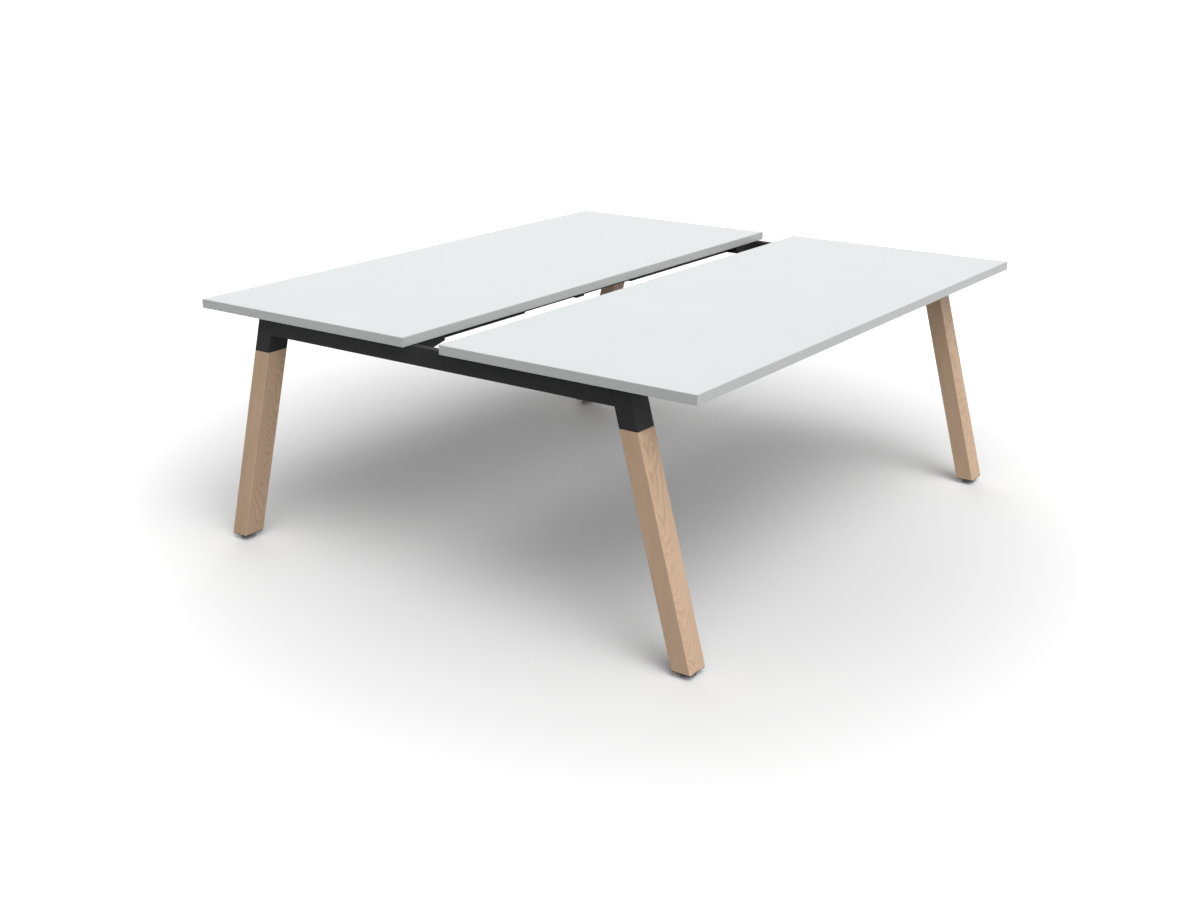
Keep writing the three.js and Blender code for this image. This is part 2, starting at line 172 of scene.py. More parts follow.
# How pieces are finished
JOINED_GAP = 0.002 * MM
FLAT_ANGLE = math.radians(1.0)
SHARP_ANGLE = math.radians(50)
SMOOTH_ANGLE = math.radians(40)
ROUND_STEPS = 3
ROUND_PROFILE = 0.5
TURN_STEPS = 48

# Rounding of the cut edges, in millimetres
RAIL_ROUND = 0.3
TUBE_ROUND = 0.4
SHEET_ROUND = 0.5
PLATE_ROUND = 0.4
LEG_ROUND = 0.6


def corners_of(node):
    """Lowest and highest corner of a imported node, in millimetres."""
    low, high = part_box(node)
    return low / MM, high / MM


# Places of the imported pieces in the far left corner, in millimetres. The other corners mirror them
RAIL_LOW, RAIL_HIGH = corners_of("far_end_rail")
BEAM_LOW, BEAM_HIGH = corners_of("far_left_beam_outer_tube")
ARM_LOW, ARM_HIGH = corners_of("far_left_support_arm")
SOCKET_LOW, SOCKET_HIGH = corners_of("far_left_leg_socket")
PAD_LOW, PAD_HIGH = corners_of("far_left_foot_pad")
STUD_LOW, STUD_HIGH = corners_of("far_left_foot_stud")
UNDERSIDE = RAIL_HIGH.z
BEAM_SIZE = BEAM_HIGH.z - BEAM_LOW.z
ARM_SHEET = 3.0
LEAN_ANGLE = math.radians(15)
LEAN = math.tan(LEAN_ANGLE)
LEG_X = (SOCKET_LOW.x + SOCKET_HIGH.x) / 2
LEG_SECTION = SOCKET_HIGH.y - SOCKET_LOW.y - LEAN * (SOCKET_HIGH.z - SOCKET_LOW.z)

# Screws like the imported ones, in millimetres
WOOD_SCREW = {"shank": 5, "head": 10, "height": 3, "key": 3}
BOLT = {"shank": 8, "head": 14, "height": 5, "key": 5}
HEAD_ROUND_SHARE = 0.28
HEAD_CHAMFER = 0.2
KEY_DEPTH_SHARE = 0.5
KEY_BEVEL_DEPTH = 0.15
KEY_BEVEL_WIDTH = 0.4
SCREW_POINT = 3
SCREW_TIP_RADIUS = 0.6

# Foot pads, as radii and heights in millimetres
PAD_RADIUS = (PAD_HIGH.x - PAD_LOW.x) / 2
PAD_HEIGHT = PAD_HIGH.z - PAD_LOW.z
PAD_RIM = 4.0
PAD_CROWN_RADIUS = 13.5
PAD_HOLE_RADIUS = 5.3
PAD_HOLE_FLOOR = 4.0
PAD_FLANK_FOOT = (18.8, 4.15)
PAD_FLANK_TOP = (13.6, 7.55)
PAD_DISH = 0.5
PAD_DISH_STEPS = 6
PAD_SOLE_ROUND = 1.4
PAD_RIM_ROUND = 0.7
PAD_CROWN_ROUND = 0.8
PAD_HOLE_ROUND = 0.6
PAD_TURN_STEPS = 64

# Foot studs, as radii and heights in millimetres. The shares are the heights of the hexagon's rings
STUD_BOTTOM = STUD_LOW.z
STUD_TOP = STUD_HIGH.z
SPIGOT_RADIUS = 5.0
SPIGOT_CHAMFER = 0.4
HEX_ACROSS_FLATS = STUD_HIGH.x - STUD_LOW.x
HEX_BOTTOM = 8.3
HEX_TOP = 14.7
HEX_CHAMFER_RADIUS = 6.75
HEX_CHAMFER_SLOPE = math.sqrt(3)
HEX_SHARES = (0, 0.05, 0.1, 0.15, 0.2, 0.5, 0.8, 0.85, 0.9, 0.95, 1)
THREAD_PITCH = 1.25
THREAD_NECK_RADIUS = 3.4
THREAD_NECK_HEIGHT = 0.05
THREAD_ROOT_RADIUS = 3.35
THREAD_DEPTH = 0.63
THREAD_FLANK_SLOPE = 1.35
THREAD_ROOT_FLAT = 0.15
THREAD_POINT = 2.0
THREAD_POINT_TAPER = 0.28
THREAD_STEPS_PER_PITCH = 8

# Weld beads, in millimetres: their ripples, their tapered ends, their radii, and how far they stay from
# the ends of the faces that they join
BEAD_STEP = 0.55
BEAD_CORNERS = 8
BEAD_RIPPLE_SHARE = 0.10
BEAD_RIPPLE_LENGTH = 2.4
BEAD_END_SHARE = 0.35
BEAD_END_SLOPE = 5
BEAM_BEAD = 2.4
SOCKET_BEAD = 2.2
ARM_BEAD = 1.8
BEAD_INSET = 2.0
BEAD_BELOW_TOP = 3.0
BEAM_BEAD_LIFT = 1.2
SOCKET_BEAD_LIFT = 0.6
SOCKET_BEAD_INSET = 3.0
ARM_BEAD_BELOW_TOP = 4.0
FLANGE_BEAD_BELOW_TOP = 3.4


def linear(colour):
    """A screen colour as the linear values that shaders take, by the usual formula for screens."""
    values = []
    for part in colour:
        part /= 255
        values.append(part / 12.92 if part <= 0.04045 else ((part + 0.055) / 1.055) ** 2.4)
    return (*values, 1.0)


class Nodes:
    """A tree of shader nodes, with short calls that add to it."""

    def __init__(self, tree):
        self.tree = tree

    def put(self, socket, value):
        """Links a socket to the output of another node, or gives it a constant."""
        if isinstance(value, bpy.types.NodeSocket):
            self.tree.links.new(value, socket)
        else:
            socket.default_value = value

    def add(self, kind, inputs=None, **settings):
        """A new node, with its inputs by name or number and its settings by name."""
        node = self.tree.nodes.new("ShaderNode" + kind)
        for name, value in settings.items():
            setattr(node, name, value)
        for name, value in (inputs or {}).items():
            self.put(node.inputs[name], value)
        return node

    def calc(self, operation, *values):
        """The result of a sum, product or other operation."""
        return self.add("Math", dict(enumerate(values)), operation=operation).outputs[0]

    def blend(self, share, first, second):
        """A mix of two shaders."""
        return self.add("MixShader", {0: share, 1: first, 2: second}).outputs[0]

    def seen_rays(self):
        """1 for the rays that show the surroundings: straight to the camera, mirrored or through glass."""
        path = self.add("LightPath").outputs
        straight_or_mirrored = self.calc("MAXIMUM", path["Is Camera Ray"], path["Is Glossy Ray"])
        return self.calc("MAXIMUM", straight_or_mirrored, path["Is Transmission Ray"])


class Surface(Nodes):
    """One procedural material."""

    def __init__(self, name, sockets):
        self.material = bpy.data.materials.new(name)
        self.material.use_nodes = True
        super().__init__(self.material.node_tree)
        self.shader = self.tree.nodes["Principled BSDF"]
        self.set(sockets)

    def set(self, sockets):
        """Links or sets sockets of the material's shader."""
        for socket, value in sockets.items():
            self.put(self.shader.inputs[socket], value)

    def place(self):
        """Metres in the desk's own frame."""
        return self.add("TexCoord").outputs["Object"]

    def noise(self, vector, waves, detail=2.0, roughness=0.5):
        """A noise with so many waves per metre, in all directions or along each axis."""
        scale = waves
        if isinstance(waves, tuple):
            scale = 1.0
            vector = self.add("Mapping", {"Vector": vector, "Scale": waves}).outputs["Vector"]
        inputs = {"Vector": vector, "Scale": scale, "Detail": detail, "Roughness": roughness}
        return self.add("TexNoise", inputs).outputs["Fac"]

    def remap(self, value, low, high, to_low=0.0, to_high=1.0):
        """A value's range, from low to high, stretched to another range."""
        inputs = {0: value, 1: low, 2: high, 3: to_low, 4: to_high}
        return self.add("MapRange", inputs).outputs[0]

    def spread(self, noise, to_low=0.0, to_high=1.0):
        """The usual range of a noise, stretched to a range of its own."""
        return self.remap(noise, *NOISE_RANGE, to_low, to_high)

    def mix(self, share, first, second):
        """A mix of two colours. Sockets 6 and 7 and output 2 are the ones for colours."""
        node = self.add("Mix", {0: share}, data_type="RGBA")
        self.put(node.inputs[6], first)
        self.put(node.inputs[7], second)
        return node.outputs[2]

    def ramp(self, value, stops):
        """A bent line of levels through (place, level) stops, the first at 0 and the last at 1."""
        node = self.add("ValToRGB", {0: value})
        elements = node.color_ramp.elements
        for spot, level in stops[1:-1]:
            elements.new(spot)
        for element, (spot, level) in zip(elements, stops):
            element.color = (level, level, level, 1)
        return node.outputs[0]

    def bump(self, height, depth, strength):
        """Relief with a depth in millimetres."""
        inputs = {"Height": height, "Distance": depth * MM, "Strength": strength}
        return self.add("Bump", inputs).outputs["Normal"]

    def edges(self, reach):
        """1 on the outside edges of a piece, and 0 away from them. The reach is in millimetres."""
        rounded = self.add("Bevel", {"Radius": reach * MM}, samples=PALE_EDGE_SAMPLES).outputs[0]
        true = self.add("NewGeometry").outputs["Normal"]
        facing = self.add("VectorMath", {0: rounded, 1: true}, operation="DOT_PRODUCT").outputs["Value"]
        return self.remap(facing, *PALE_EDGE_FACING)


def make_laminate(name, pale, deep, roughness, wipes):
    """Satin melamine or plastic edging: faint clouds, a fine pearl texture and wiping marks."""
    paint = Surface(name, {"IOR": LAMINATE_IOR})
    place = paint.place()
    clouds = paint.noise(place, LAMINATE_CLOUDS, detail=3)
    pearl = paint.noise(place, LAMINATE_PEARL, roughness=0.6)
    wiped = paint.noise(place, wipes, detail=4, roughness=0.6)
    tone = paint.calc("ADD", paint.remap(clouds, 0.35, 0.65, 0.1, 0.6), paint.spread(pearl, 0, 0.4))
    wiped_rough = paint.spread(wiped, roughness - WIPED_ROUGHNESS, roughness + WIPED_ROUGHNESS)
    pearl_rough = paint.spread(pearl, -PEARL_ROUGHNESS, PEARL_ROUGHNESS)
    paint.set({
        "Base Color": paint.mix(tone, linear(deep), linear(pale)),
        "Roughness": paint.calc("ADD", wiped_rough, pearl_rough),
        "Normal": paint.bump(pearl, LAMINATE_RELIEF, strength=0.35),
    })
    return paint.material


def make_steel():
    """Fine-textured matt black powder coat, slightly polished where edges are handled. Its edges are paler
    in patches: wear with a painted sheen.
    """
    paint = Surface("black_steel", {"IOR": STEEL_IOR, "Specular IOR Level": STEEL_MIRROR})
    place = paint.place()
    grit = paint.noise(place, STEEL_GRIT, detail=3, roughness=0.65)
    peel = paint.noise(place, STEEL_PEEL)
    clouds = paint.noise(place, STEEL_CLOUDS, detail=3)
    patches = paint.remap(paint.noise(place, STEEL_WEAR, detail=4, roughness=0.7), 0.42, 0.72)
    # Paler, smoother edges in patches: wear, and the paler colour is also a painted sheen
    pale_edges = paint.calc("MULTIPLY", paint.edges(STEEL_PALE_EDGE_REACH), patches)
    tone = paint.calc("ADD", paint.spread(grit, 0, 0.6), paint.spread(clouds, 0, 0.4))
    base = paint.mix(tone, linear(STEEL_DEEP), linear(STEEL_PALE))
    polish = paint.calc("MULTIPLY", pale_edges, 0.12)
    height = paint.calc("ADD", grit, paint.calc("MULTIPLY", peel, 0.8))
    paint.set({
        "Base Color": paint.mix(paint.calc("MULTIPLY", pale_edges, 0.5), base, linear(STEEL_WORN_AND_SHEEN)),
        "Roughness": paint.calc("SUBTRACT", paint.spread(peel, *STEEL_ROUGHNESS), polish),
        "Normal": paint.bump(height, STEEL_RELIEF, strength=0.45),
    })
    return paint.material


def make_oak():
    """Pale lacquered oak. Its rings run round a slanting pith: arches on flat faces, lines on sides. Its
    edges are paler all round: wear with a painted highlight.
    """
    paint = Surface("oak", {"IOR": OAK_IOR, "Specular IOR Level": OAK_MIRROR})
    grain = paint.add("Attribute", attribute_name=GRAIN_LAYER).outputs["Vector"]
    across, depth, along = paint.add("SeparateXYZ", {0: grain}).outputs
    slanted = paint.calc("MULTIPLY_ADD", along, OAK_SLANT, depth)
    across_squared = paint.calc("MULTIPLY", across, across)
    depth_squared = paint.calc("MULTIPLY", slanted, slanted)
    from_pith = paint.calc("SQRT", paint.calc("ADD", across_squared, depth_squared))
    wide = paint.noise(grain, OAK_WIDE_BENDS)
    fine = paint.noise(grain, OAK_FINE_BENDS, detail=3)
    wide_bend = paint.remap(wide, 0, 1, -OAK_WIDE_BEND * MM, OAK_WIDE_BEND * MM)
    fine_bend = paint.remap(fine, 0, 1, -OAK_FINE_BEND * MM, OAK_FINE_BEND * MM)
    bent = paint.calc("ADD", from_pith, paint.calc("ADD", wide_bend, fine_bend))
    rings = paint.calc("DIVIDE", bent, OAK_RING * MM)
    ring = paint.ramp(paint.calc("FRACT", rings), OAK_RING_TONES)
    fibre = paint.noise(grain, OAK_FIBRE, detail=3, roughness=0.6)
    pores = paint.noise(grain, OAK_PORES, roughness=0.6)
    clouds = paint.noise(grain, OAK_CLOUDS, detail=3)
    drift = paint.noise(grain, OAK_DRIFT)
    pore = paint.calc("MULTIPLY", paint.remap(pores, 0.56, 0.74), paint.remap(ring, 0, 1, 0.25, 1.0))
    tone = paint.calc("MULTIPLY", ring, paint.spread(clouds, 0.25, 0.75))
    tone = paint.calc("ADD", tone, paint.spread(fibre, -0.06, 0.2))
    tone = paint.calc("ADD", tone, paint.spread(drift, -0.08, 0.14))
    wood = paint.mix(tone, linear(OAK_PALE), linear(OAK_DEEP))
    wood = paint.mix(paint.calc("MULTIPLY", pore, 0.55), wood, linear(OAK_PORE))
    # Paler edges all round: wear, and a painted highlight along every edge
    pale_edges = paint.calc("MULTIPLY", paint.edges(OAK_PALE_EDGE_REACH), 0.35)
    height = paint.calc("SUBTRACT", paint.calc("MULTIPLY", fibre, 0.35), pore)
    dull = paint.calc("MULTIPLY", pore, 0.12)
    paint.set({
        "Base Color": paint.mix(pale_edges, wood, linear(OAK_WORN_AND_HIGHLIGHT)),
        "Roughness": paint.calc("ADD", paint.spread(fibre, *OAK_ROUGHNESS), dull),
        "Normal": paint.bump(height, OAK_RELIEF, strength=0.5),
    })
    return paint.material


def make_zinc():
    """Bright zinc plate: brushed by the lathe, with a slightly cloudy bloom."""
    paint = Surface("zinc_steel", {"Metallic": 1.0})
    place = paint.place()
    bloom = paint.noise(place, ZINC_BLOOM, detail=4, roughness=0.6)
    brushed = paint.noise(place, ZINC_BRUSHING)
    paint.set({
        "Base Color": paint.mix(paint.spread(bloom), linear(ZINC_DEEP), linear(ZINC_PALE)),
        "Roughness": paint.spread(bloom, *ZINC_ROUGHNESS),
        "Normal": paint.bump(brushed, ZINC_RELIEF, strength=0.5),
    })
    return paint.material


def make_plastic():
    """Grey moulded nylon with a fine spark texture, rubbed paler on its edges."""
    paint = Surface("grey_plastic", {"IOR": PLASTIC_IOR})
    place = paint.place()
    spark = paint.noise(place, PLASTIC_SPARK, roughness=0.6)
    dust = paint.noise(place, PLASTIC_DUST, detail=4, roughness=0.7)
    pale_edges = paint.calc("MULTIPLY", paint.edges(PLASTIC_WORN_REACH), paint.remap(dust, 0.4, 0.7))
    tone = paint.calc("ADD", paint.remap(dust, 0.35, 0.75, 0, 0.5), paint.calc("MULTIPLY", pale_edges, 0.5))
    paint.set({
        "Base Color": paint.mix(tone, linear(PLASTIC_DEEP), linear(PLASTIC_PALE)),
        "Roughness": paint.spread(spark, *PLASTIC_ROUGHNESS),
        "Normal": paint.bump(spark, PLASTIC_RELIEF, strength=0.4),
    })
    return paint.material


MATERIALS = {
    "white_laminate": make_laminate(
        "white_laminate", LAMINATE_PALE, LAMINATE_DEEP, LAMINATE_ROUGHNESS, LAMINATE_WIPES),
    "white_edging": make_laminate(
        "white_edging", EDGING_PALE, EDGING_DEEP, EDGING_ROUGHNESS, EDGING_WIPES),
    "black_steel": make_steel(),
    "oak": make_oak(),
    "zinc_steel": make_zinc(),
    "grey_plastic": make_plastic(),
}


def add_piece(name, mesh, slot, body, *nodes):
    """Turns a bmesh into a smooth shaded piece that rides on a body and stands for the named nodes."""
    data = bpy.data.meshes.new(name)
    for face in mesh.faces:
        face.smooth = True
    mesh.to_mesh(data)
    mesh.free()
    data.set_sharp_from_angle(angle=SMOOTH_ANGLE)
    data.materials.append(MATERIALS[slot])
    piece = bpy.data.objects.new(name, data)
    bpy.context.scene.collection.objects.link(piece)
    normals = piece.modifiers.new("flat faces stay flat", "WEIGHTED_NORMAL")
    normals.keep_sharp = True
    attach(piece, body)
    if nodes:
        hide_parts(*nodes)
    return piece


def whole_mesh(node):
    """A node's mesh with its corners joined and its flat faces in one piece each."""
    mesh = bmesh.new()
    mesh.from_mesh(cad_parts[node].data)
    bmesh.ops.remove_doubles(mesh, verts=mesh.verts[:], dist=JOINED_GAP)
    bmesh.ops.dissolve_limit(mesh, angle_limit=FLAT_ANGLE, verts=mesh.verts[:], edges=mesh.edges[:])
    return mesh


def finish_node(node, slot, round_off=0):
    """Replaces a node by its own shape, with the cut edges rounded off by so many millimetres."""
    mesh = whole_mesh(node)
    if round_off:
        cut = [edge for edge in mesh.edges if edge.is_manifold and edge.calc_face_angle() > SHARP_ANGLE]
        bmesh.ops.bevel(mesh, geom=cut, offset=round_off * MM, offset_type="OFFSET", segments=ROUND_STEPS,
                        profile=ROUND_PROFILE, affect="EDGES", clamp_overlap=True)
    return add_piece(node + "_finish", mesh, slot, DESK, node)


def ringed(rings, steps=TURN_STEPS):
    """A closed mesh round the Z axis.

    Each ring is a radius and a height in millimetres. A radius can be a function of angle and height.
    """
    mesh = bmesh.new()
    loops = []
    for radius, height in rings:
        if radius == 0:
            loops.append([mesh.verts.new((0, 0, height * MM))])
            continue
        loop = []
        for step in range(steps):
            angle = 2 * math.pi * step / steps
            reach = radius(angle, height) if callable(radius) else radius
            x = reach * math.cos(angle) * MM
            y = reach * math.sin(angle) * MM
            loop.append(mesh.verts.new((x, y, height * MM)))
        loops.append(loop)
    for low, high in zip(loops, loops[1:]):
        for step in range(steps):
            after = (step + 1) % steps
            corners = [
                low[step % len(low)],
                low[after % len(low)],
                high[after % len(high)],
                high[step % len(high)],
            ]
            mesh.faces.new(list(dict.fromkeys(corners)))
    bmesh.ops.recalc_face_normals(mesh, faces=mesh.faces[:])
    return mesh


def arc(centre, radius, start, stop):
    """Rings of a rounded edge: an arc round a centre, from one angle to another in degrees."""
    rings = []
    for step in range(ROUND_STEPS + 1):
        angle = math.radians(start + (stop - start) * step / ROUND_STEPS)
        rings.append((centre[0] + radius * math.cos(angle), centre[1] + radius * math.sin(angle)))
    return rings


def hexagon(across_flats):
    """A hexagon's reach at each angle, with flats towards the X axis."""
    def reach(angle, height):
        turn = (angle + math.pi / 6) % (math.pi / 3) - math.pi / 6
        return across_flats / 2 / math.cos(turn)
    return reach


def socket_screw(shank, length, head, height, key):
    """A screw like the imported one, with a rounded head under z = 0 and a hexagon key hole in it."""
    soft = HEAD_ROUND_SHARE * height
    key_floor = -KEY_DEPTH_SHARE * height
    rings = [(0, key_floor), (hexagon(key), key_floor), (hexagon(key), -height + KEY_BEVEL_DEPTH)]
    rings += [(hexagon(key + KEY_BEVEL_WIDTH), -height)]
    rings += arc((head / 2 - soft, -height + soft), soft, -90, 0)
    rings += [(head / 2, -HEAD_CHAMFER), (head / 2 - HEAD_CHAMFER, 0)]
    rings += [(shank / 2, 0), (shank / 2, length - SCREW_POINT), (SCREW_TIP_RADIUS, length), (0, length)]
    return ringed(rings)


def finish_screw(node, size, towards):
    """Replaces a screw whose shank points towards an axis direction."""
    low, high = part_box(node)
    axis = Vector(towards)
    span = abs((high - low).dot(axis))
    seat = (low + high) / 2 - axis * (span / 2 - size["height"] * MM)
    mesh = socket_screw(length=span / MM - size["height"], **size)
    turn = UP.rotation_difference(axis).to_matrix().to_4x4()
    bmesh.ops.transform(mesh, matrix=Matrix.Translation(seat) @ turn, verts=mesh.verts[:])
    add_piece(node + "_finish", mesh, "zinc_steel", DESK, node)


def set_grain(piece, end, side, pith):
    """Stores for each point of a leg its place in the plank: across, deep and along, in metres."""
    along = Vector((0, math.sin(LEAN_ANGLE) * side, -math.cos(LEAN_ANGLE)))
    deep = Vector((0, math.cos(LEAN_ANGLE) * side, math.sin(LEAN_ANGLE)))
    top = Vector((LEG_X * end, (SOCKET_LOW.y + LEG_SECTION / 2) * side, UNDERSIDE)) * MM
    layer = piece.data.attributes.new(GRAIN_LAYER, "FLOAT_VECTOR", "POINT")
    for vertex, value in zip(piece.data.vertices, layer.data):
        offset = vertex.co - top
        value.vector = (offset.x * end + pith[0], offset.dot(deep) + pith[1], offset.dot(along) + pith[2])


def foot_pad():
    """A moulded pad: a soft rim, a dished flank and a crown with a hole for the stud."""
    rings = [(0, 0)]
    rings += arc((PAD_RADIUS - PAD_SOLE_ROUND, PAD_SOLE_ROUND), PAD_SOLE_ROUND, -90, 0)
    rings += arc((PAD_RADIUS - PAD_RIM_ROUND, PAD_RIM - PAD_RIM_ROUND), PAD_RIM_ROUND, 0, 90)
    for step in range(PAD_DISH_STEPS + 1):
        share = step / PAD_DISH_STEPS
        sag = PAD_DISH * math.sin(math.pi * share)
        rings.append((
            PAD_FLANK_FOOT[0] + (PAD_FLANK_TOP[0] - PAD_FLANK_FOOT[0]) * share,
            PAD_FLANK_FOOT[1] + (PAD_FLANK_TOP[1] - PAD_FLANK_FOOT[1]) * share - sag,
        ))
    rings += arc((PAD_CROWN_RADIUS - PAD_CROWN_ROUND, PAD_HEIGHT - PAD_CROWN_ROUND), PAD_CROWN_ROUND, 30, 90)
    rings += arc((PAD_HOLE_RADIUS + PAD_HOLE_ROUND, PAD_HEIGHT - PAD_HOLE_ROUND), PAD_HOLE_ROUND, 90, 180)
    rings += [(PAD_HOLE_RADIUS, PAD_HOLE_FLOOR), (0, PAD_HOLE_FLOOR)]
    return ringed(rings, PAD_TURN_STEPS)


def foot_stud():
    """A spigot, a chamfered hexagon and a right-hand thread."""
    flats = hexagon(HEX_ACROSS_FLATS)

    def chamfered(angle, height):
        depth = min(height - HEX_BOTTOM, HEX_TOP - height)
        return min(flats(angle, height), HEX_CHAMFER_RADIUS + depth * HEX_CHAMFER_SLOPE)

    def thread(angle, height):
        wave = abs((height / THREAD_PITCH - angle / (2 * math.pi)) % 1 - 0.5) * 2
        crest = min(1.0, max(0.0, THREAD_FLANK_SLOPE * wave - THREAD_ROOT_FLAT))
        body = min(1.0, (STUD_TOP - height) / THREAD_POINT)
        return (THREAD_ROOT_RADIUS + THREAD_DEPTH * crest) * (1 - THREAD_POINT_TAPER * (1 - body))

    rings = [(0, STUD_BOTTOM), (SPIGOT_RADIUS - SPIGOT_CHAMFER, STUD_BOTTOM)]
    rings += [(SPIGOT_RADIUS, STUD_BOTTOM + SPIGOT_CHAMFER), (SPIGOT_RADIUS, HEX_BOTTOM)]
    for share in HEX_SHARES:
        rings.append((chamfered, HEX_BOTTOM + (HEX_TOP - HEX_BOTTOM) * share))
    rings.append((THREAD_NECK_RADIUS, HEX_TOP))
    thread_start = HEX_TOP + THREAD_NECK_HEIGHT
    count = round((STUD_TOP - HEX_TOP) / THREAD_PITCH * THREAD_STEPS_PER_PITCH)
    for step in range(count + 1):
        rings.append((thread, thread_start + (STUD_TOP - thread_start) * step / count))
    rings.append((0, STUD_TOP))
    return ringed(rings)


def bead(mesh, start, stop, radius):
    """Adds one run of a weld to a mesh: a bead with the ripples of its passes, between two points."""
    run = stop - start
    turn = UP.rotation_difference(run).to_matrix()
    count = round(run.length / BEAD_STEP)
    loops = []
    for step in range(count + 1):
        share = step / count
        ripple = 1 + BEAD_RIPPLE_SHARE * math.sin(2 * math.pi * run.length * share / BEAD_RIPPLE_LENGTH)
        taper = min(1.0, BEAD_END_SHARE + BEAD_END_SLOPE * min(share, 1 - share))
        loop = []
        for corner in range(BEAD_CORNERS):
            angle = 2 * math.pi * corner / BEAD_CORNERS
            spoke = turn @ Vector((math.cos(angle), math.sin(angle), 0))
            loop.append(mesh.verts.new((start + run * share + spoke * radius * ripple * taper) * MM))
        loops.append(loop)
    for low, high in zip(loops, loops[1:]):
        for corner in range(BEAD_CORNERS):
            after = (corner + 1) % BEAD_CORNERS
            mesh.faces.new((low[corner], low[after], high[after], high[corner]))
    mesh.faces.new(loops[0][::-1])
    mesh.faces.new(loops[-1])


def add_welds(name, runs, end, side, radius):
    """One piece of weld beads, from runs in the far left corner, mirrored to another corner."""
    mesh = bmesh.new()
    mirror = Vector((end, side, 1))
    for start, stop in runs:
        bead(mesh, Vector(start) * mirror, Vector(stop) * mirror, radius)
    bmesh.ops.recalc_face_normals(mesh, faces=mesh.faces[:])
    add_piece(name, mesh, "black_steel", DESK)


def on_rail(y, z):
    """A point on the inner face of the far rail."""
    return RAIL_LOW.x, y, z


def beam_runs():
    """Welds of a beam: down both sides and along its bottom."""
    inner = BEAM_LOW.y
    outer = inner + BEAM_SIZE
    top = UNDERSIDE - BEAD_BELOW_TOP
    bottom = RAIL_LOW.z + BEAD_INSET
    under = RAIL_LOW.z + BEAM_BEAD_LIFT
    return [
        (on_rail(inner, top), on_rail(inner, bottom)),
        (on_rail(outer, top), on_rail(outer, bottom)),
        (on_rail(inner + BEAD_INSET, under), on_rail(outer - BEAD_INSET, under)),
    ]


def socket_runs():
    """Welds of a leg socket: down its leaning inner face and along the bottom of the rail."""
    def inner_face(z):
        return SOCKET_LOW.y + LEAN * (UNDERSIDE - z)

    top = UNDERSIDE - BEAD_BELOW_TOP
    bottom = RAIL_LOW.z + BEAD_INSET
    under = RAIL_LOW.z + SOCKET_BEAD_LIFT
    start = RAIL_LOW.x + BEAD_INSET
    stop = RAIL_HIGH.x - SOCKET_BEAD_INSET
    return [
        (on_rail(inner_face(top), top), on_rail(inner_face(bottom), bottom)),
        ((start, inner_face(under), under), (stop, inner_face(under), under)),
    ]


def arm_runs():
    """Welds of a support arm: down both sides of its web and along its flange."""
    inner = ARM_LOW.y
    outer = inner + ARM_SHEET
    top = UNDERSIDE - ARM_BEAD_BELOW_TOP
    bottom = ARM_LOW.z + BEAD_INSET
    flange = UNDERSIDE - FLANGE_BEAD_BELOW_TOP
    return [
        (on_rail(inner, top), on_rail(inner, bottom)),
        (on_rail(outer, top), on_rail(outer, bottom)),
        (on_rail(outer + BEAD_INSET, flange), on_rail(ARM_HIGH.y - BEAD_INSET, flange)),
    ]


# Tops
for side in SIDES:
    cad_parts[f"{side}_top_board"].data.materials[0] = MATERIALS["white_laminate"]
    for edge in ("inner", "outer", "near", "far"):
        finish_node(f"{side}_top_{edge}_edge", "white_edging")

# Frame
for side in SIDES:
    finish_node(f"{side}_beam_inner_tube", "black_steel", TUBE_ROUND)
    finish_node(f"{side}_beam_collar", "black_steel", SHEET_ROUND)
    for place in ("inner", "outer"):
        finish_screw(f"{side}_collar_{place}_screw", WOOD_SCREW, UP)
for end in ENDS:
    finish_node(f"{end}_end_rail", "black_steel", RAIL_ROUND)
for end, side in CORNERS:
    corner = f"{end}_{side}"
    finish_node(f"{corner}_beam_outer_tube", "black_steel", TUBE_ROUND)
    finish_node(f"{corner}_support_arm", "black_steel", SHEET_ROUND)
    finish_node(f"{corner}_leg_socket", "black_steel", SHEET_ROUND)
    finish_node(f"{corner}_foot_plate", "black_steel", PLATE_ROUND)
    finish_screw(f"{corner}_arm_screw", WOOD_SCREW, UP)
    finish_screw(f"{corner}_beam_lock_bolt", BOLT, (0, -SIDES[side], 0))
    finish_screw(f"{corner}_leg_bolt", BOLT, (ENDS[end], 0, 0))

# Welds of the frame, on the sides that are not ground flush
for end, side in CORNERS:
    corner = f"{end}_{side}"
    add_welds(f"{corner}_beam_weld", beam_runs(), ENDS[end], SIDES[side], BEAM_BEAD)
    add_welds(f"{corner}_socket_weld", socket_runs(), ENDS[end], SIDES[side], SOCKET_BEAD)
    add_welds(f"{corner}_arm_weld", arm_runs(), ENDS[end], SIDES[side], ARM_BEAD)

# Legs
for end, side in CORNERS:
    corner = f"{end}_{side}"
    leg = finish_node(f"{corner}_leg", "oak", LEG_ROUND)
    set_grain(leg, ENDS[end], SIDES[side], OAK_PITHS[corner])

# Feet
for end, side in CORNERS:
    corner = f"{end}_{side}"
    low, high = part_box(f"{corner}_foot_pad")
    at = Matrix.Translation(((low.x + high.x) / 2, (low.y + high.y) / 2, low.z))
    for kind, slot, make in (("pad", "grey_plastic", foot_pad), ("stud", "zinc_steel", foot_stud)):
        mesh = make()
        bmesh.ops.transform(mesh, matrix=at, verts=mesh.verts[:])
        add_piece(f"{corner}_foot_{kind}_finish", mesh, slot, f"{corner}_{kind}", f"{corner}_foot_{kind}")


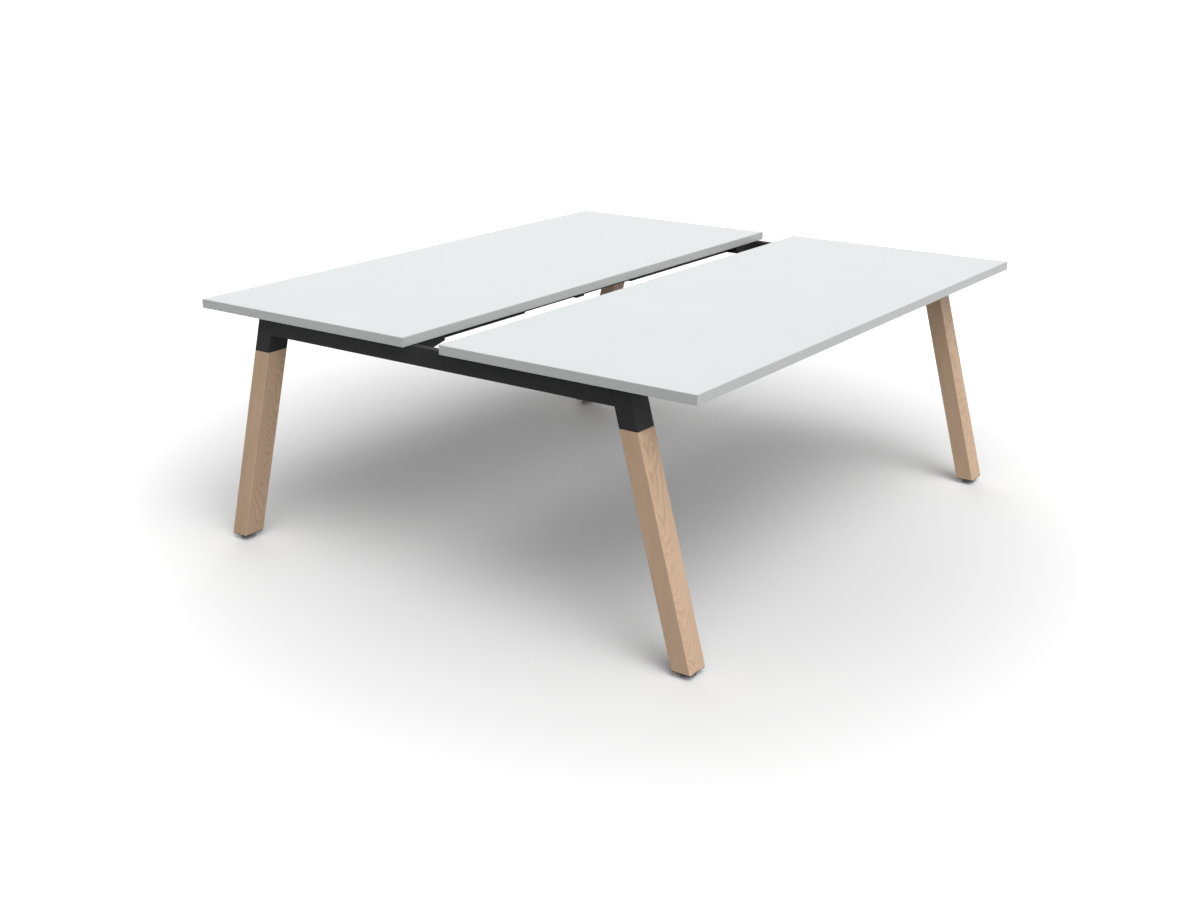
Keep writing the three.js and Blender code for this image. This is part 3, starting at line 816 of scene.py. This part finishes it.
def floor_material():
    """A pale floor with a painted shade round the desk that fades into the white in the picture. From below
    it is clear.
    """
    material = bpy.data.materials.new("floor")
    material.use_nodes = True
    nodes = Nodes(material.node_tree)
    nodes.tree.nodes.clear()
    place = nodes.add("TexCoord").outputs["Object"]
    distance = nodes.add("VectorMath", {0: place}, operation="LENGTH").outputs["Value"]
    # The floor is darker near the desk: a painted shade that fades into the white away from it
    levels = (distance, *FLOOR_SHADE_FADE, FLOOR_SEEN_IN_PAINTED_SHADE, FLOOR_SEEN_FAR)
    painted_shade_fade = nodes.add("MapRange", dict(enumerate(levels)), interpolation_type="SMOOTHSTEP").outputs[0]
    bounce = (FLOOR_BOUNCE, FLOOR_BOUNCE, FLOOR_BOUNCE, 1)
    bounced = nodes.add("BsdfDiffuse", {"Color": bounce}).outputs[0]
    seen = nodes.add("BsdfDiffuse", {"Color": painted_shade_fade}).outputs[0]
    from_below = nodes.add("NewGeometry").outputs["Backfacing"]
    clear = nodes.add("BsdfTransparent").outputs[0]
    upper_side = nodes.blend(nodes.seen_rays(), bounced, seen)
    nodes.add("OutputMaterial", {"Surface": nodes.blend(from_below, upper_side, clear)})
    return material


def add_floor():
    """A wide floor, whose own place, turn and width are those of its painted shade and its fade."""
    mesh = bmesh.new()
    bmesh.ops.create_grid(mesh, x_segments=2, y_segments=2, size=FLOOR_SIZE / 2)
    data = bpy.data.meshes.new("floor")
    mesh.to_mesh(data)
    mesh.free()
    data.materials.append(floor_material())
    floor = bpy.data.objects.new("floor", data)
    floor.location = FLOOR_SHADE_CENTRE
    floor.rotation_euler.z = FLOOR_SHADE_TURN
    floor.scale.y = FLOOR_SHADE_WIDTH
    bpy.context.scene.collection.objects.link(floor)


def add_sky():
    """White surroundings to look at, and a sky with soft lamps in it that lights the desk."""
    world = bpy.data.worlds.new("studio")
    bpy.context.scene.world = world
    world.use_nodes = True
    nodes = Nodes(world.node_tree)
    nodes.tree.nodes.clear()
    direction = nodes.add("TexCoord").outputs["Generated"]
    level = SKY_LOW
    for lamp in SKY_LAMPS:
        inputs = {0: direction, 1: Vector(lamp["towards"]).normalized()}
        facing = nodes.add("VectorMath", inputs, operation="DOT_PRODUCT").outputs["Value"]
        glow = nodes.calc("POWER", nodes.calc("MAXIMUM", facing, 0.0), lamp["focus"])
        level = nodes.calc("MULTIPLY_ADD", glow, lamp["strength"], level)
    light = nodes.add("Background", {"Color": WHITE, "Strength": level}).outputs[0]
    white = nodes.add("Background", {"Color": WHITE}).outputs[0]
    nodes.add("OutputWorld", {"Surface": nodes.blend(nodes.seen_rays(), light, white)})


def add_camera():
    """The camera of the photograph."""
    data = bpy.data.cameras.new("camera")
    data.sensor_width = SENSOR_WIDTH
    data.lens = SENSOR_WIDTH * CAMERA_FOCAL_PIXELS / IMAGE_WIDTH
    camera = bpy.data.objects.new("camera", data)
    bpy.context.scene.collection.objects.link(camera)
    camera.location = CAMERA_PLACE
    flat = math.cos(CAMERA_TILT)
    forward = Vector((flat * math.cos(CAMERA_TURN), flat * math.sin(CAMERA_TURN), math.sin(CAMERA_TILT)))
    camera.rotation_euler = forward.to_track_quat("-Z", "Y").to_euler()
    bpy.context.scene.camera = camera


add_floor()
add_sky()
add_camera()
bpy.context.scene.view_settings.view_transform = "Standard"
